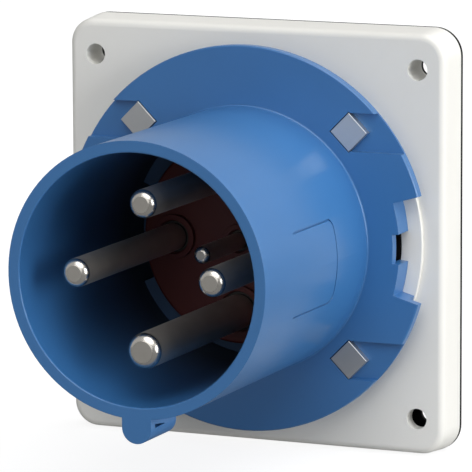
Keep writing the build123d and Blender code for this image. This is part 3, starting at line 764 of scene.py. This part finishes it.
class INLET_OT_stage(bpy.types.Operator):
    """Sets up the camera, the soft studio light, the white backdrop and the pale floor."""

    bl_idname = "inlet.stage"
    bl_label = "Stage"

    def execute(self, context):
        stage = context.scene.inlet_stage
        self.camera(context.scene, stage)
        self.lights(stage)
        self.backdrop(context.scene, stage)
        self.floor(stage)
        context.scene.view_settings.view_transform = "Standard"
        return {"FINISHED"}

    def camera(self, scene, stage):
        """Camera that looks at the target: back points from it, right is level, both turn by the roll."""
        turn, rise, roll = stage.azimuth, stage.elevation, stage.roll
        out = math.cos(rise)
        back = Vector((math.sin(turn) * out, -math.cos(turn) * out, math.sin(rise)))
        level = Vector((math.cos(turn), math.sin(turn), 0.0))
        upright = back.cross(level)
        right = level * math.cos(roll) + upright * math.sin(roll)
        up = upright * math.cos(roll) - level * math.sin(roll)
        data = bpy.data.cameras.new("camera")
        data.sensor_width = SENSOR_WIDTH
        data.lens = stage.focal_pixels * SENSOR_WIDTH / FRAME_PIXELS
        data.shift_x = (FRAME_PIXELS / 2 - stage.centre_x) / FRAME_PIXELS
        data.shift_y = (stage.centre_y - FRAME_PIXELS / 2) / FRAME_PIXELS
        data.clip_end = 50.0
        camera = bpy.data.objects.new("camera", data)
        scene.collection.objects.link(camera)
        target = Vector((0.0, -stage.target_reach, 0.0))
        turned = Matrix((right, up, back)).transposed().to_4x4()
        camera.matrix_world = Matrix.Translation(target + back * stage.distance) @ turned
        scene.camera = camera

    def lights(self, stage):
        """One broad light from the right, one from above in front, and three weaker ones to fill."""
        spreads = {"side": stage.side_spread, "top": stage.top_spread}
        for name, place in LAMP_PLACES.items():
            strength = getattr(stage, f"{name}_strength")
            add_sun(f"{name}_light", place, strength, spreads.get(name, stage.fill_spread))

    def backdrop(self, scene, stage):
        """White where it is seen, dimmer in gloss, most so straight in front, and casts no light."""
        world = bpy.data.worlds.new("backdrop")
        world.use_nodes = True
        tree = world.node_tree
        tree.nodes.clear()
        background = node(tree, "ShaderNodeBackground", Color=WHITE)
        surface = tree.nodes.new("ShaderNodeOutputWorld")
        apart = node(tree, "ShaderNodeSeparateXYZ")
        tree.links.new(tree.nodes.new("ShaderNodeTexCoord").outputs["Generated"], apart.inputs["Vector"])
        along = apart.outputs["Y"]
        mirrored = spread(tree, along, stage.mirror_front, stage.mirror_strength, FRONT_CONE)
        strength = seen_level(tree, 1.0, mirrored, 0.0)
        tree.links.new(strength, background.inputs["Strength"])
        tree.links.new(background.outputs["Background"], surface.inputs["Surface"])
        scene.world = world

    def floor(self, stage):
        """A level sheet under the flange, with a little plain white added for the camera."""
        half = stage.floor_size / 2
        low = cad_box[0][2]
        mesh = bpy.data.meshes.new("floor")
        corners = [(-half, -half, low), (half, -half, low), (half, half, low), (-half, half, low)]
        mesh.from_pydata(corners, [], [(0, 1, 2, 3)])
        floor = bpy.data.objects.new("floor", mesh)
        bpy.context.scene.collection.objects.link(floor)
        material, tree, shader = start_material("floor_paper")
        fibre = noise(tree, tree.nodes.new("ShaderNodeTexCoord").outputs["Object"], FIBRE_CELLS)
        shader.inputs["Base Color"].default_value = (*stage.floor_colour, 1.0)
        tree.links.new(spread(tree, fibre, *PAPER_ROUGHNESS), shader.inputs["Roughness"])
        shader.inputs["Emission Color"].default_value = WHITE
        lift = seen_level(tree, stage.floor_lift, stage.floor_mirrored, stage.floor_cast)
        tree.links.new(lift, shader.inputs["Emission Strength"])
        shader.inputs["Specular IOR Level"].default_value = 0.0
        mesh.materials.append(material)


class INLET_PT_sidebar(bpy.types.Panel):
    """Lists the finishes, the fittings and the stage in the 3D view's sidebar."""

    bl_idname = "INLET_PT_sidebar"
    bl_label = "Pin and Sleeve Inlet"
    bl_space_type = "VIEW_3D"
    bl_region_type = "UI"
    bl_category = "Inlet"

    def draw(self, context):
        layout = self.layout
        for operator in OPERATORS:
            layout.operator(operator.bl_idname)
        for attribute in SETTINGS:
            group = getattr(context.scene, attribute)
            box = layout.box()
            for name in group.__annotations__:
                box.prop(group, name)


OPERATORS = (INLET_OT_stage, INLET_OT_plastics, INLET_OT_metals, INLET_OT_fittings)
SETTINGS = {
    "inlet_plastics": InletPlastics,
    "inlet_metals": InletMetals,
    "inlet_fittings": InletFittings,
    "inlet_stage": InletStage,
}


def register():
    """Registers the classes and hangs the settings on the scene."""
    for group in SETTINGS.values():
        bpy.utils.register_class(group)
    for cls in (*OPERATORS, INLET_PT_sidebar):
        bpy.utils.register_class(cls)
    for attribute, group in SETTINGS.items():
        setattr(bpy.types.Scene, attribute, PointerProperty(type=group))


def unregister():
    """Takes the settings and the classes away again."""
    for attribute in SETTINGS:
        delattr(bpy.types.Scene, attribute)
    for cls in reversed((*SETTINGS.values(), *OPERATORS, INLET_PT_sidebar)):
        bpy.utils.unregister_class(cls)


def main():
    """Registers the add-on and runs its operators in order."""
    register()
    bpy.ops.inlet.stage()
    bpy.ops.inlet.plastics()
    bpy.ops.inlet.metals()
    bpy.ops.inlet.fittings()


if __name__ == "__main__":
    main()
